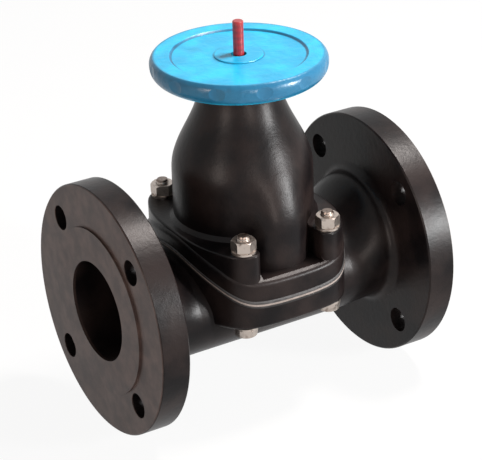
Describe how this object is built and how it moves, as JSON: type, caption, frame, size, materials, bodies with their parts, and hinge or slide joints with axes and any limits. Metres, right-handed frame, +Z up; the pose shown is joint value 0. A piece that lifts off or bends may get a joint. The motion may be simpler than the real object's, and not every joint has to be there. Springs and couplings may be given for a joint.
{
  "type": "diaphragm valve",
  "caption": "Flanged weir-type diaphragm valve: arched rubber diaphragm bolted between body and bell-shaped bonnet, closed by a fluted handwheel with a rising position indicator.",
  "frame": {"origin": "on the level of the flanges' lowest points, straight below the crossing of the pipe axis and the spindle axis", "axes": "+X along the pipe from the inlet end to the outlet end, +Y across the pipe, +Z up along the spindle towards the handwheel"},
  "size_m": [0.254, 0.1904, 0.2928],
  "materials": {
    "casting": "satin black coating on grey iron",
    "bare_iron": "as cast",
    "rubber": "matt",
    "stainless": "machined",
    "zinc": "zinc plated",
    "bronze": "machined",
    "wheel_blue": "glossy, as moulded",
    "indicator_red": "glossy"
  },
  "bodies": {
    "valve_body": {"body_casting": "casting", "diaphragm": "rubber", "bonnet": "casting", "bonnet_bolts": "zinc", "head_washers": "zinc", "nut_washers": "zinc", "bonnet_nuts": "zinc", "lower_thrust_washer": "stainless", "upper_thrust_washer": "stainless"},
    "wheel": {"handwheel": "wheel_blue", "drive_sleeve": "bronze", "wheel_key": "stainless", "retaining_ring": "stainless", "hub_cap": "wheel_blue", "sleeve_o_ring": "rubber"},
    "spindle_group": {"spindle": "stainless", "compressor": "bare_iron", "compressor_pin": "stainless", "diaphragm_stud": "stainless", "indicator_rod": "indicator_red", "indicator_jam_nut": "zinc"}
  },
  "joints": [
    {"name": "wheel_turn", "type": "hinge", "parent": "valve_body", "child": "wheel", "pos_m": [0, 0, 0.25695], "axis": [0, 0, 1], "range_deg": [-2520, 0]},
    {"name": "spindle_lift", "type": "slide", "parent": "valve_body", "child": "spindle_group", "axis": [0, 0, 1], "range_m": [-0.02801, 0], "deforming": ["diaphragm"]}
  ],
  "couplings": [
    {"joint": "spindle_lift", "follows": "wheel_turn", "m_per_rad": 0.00063662}
  ]
}
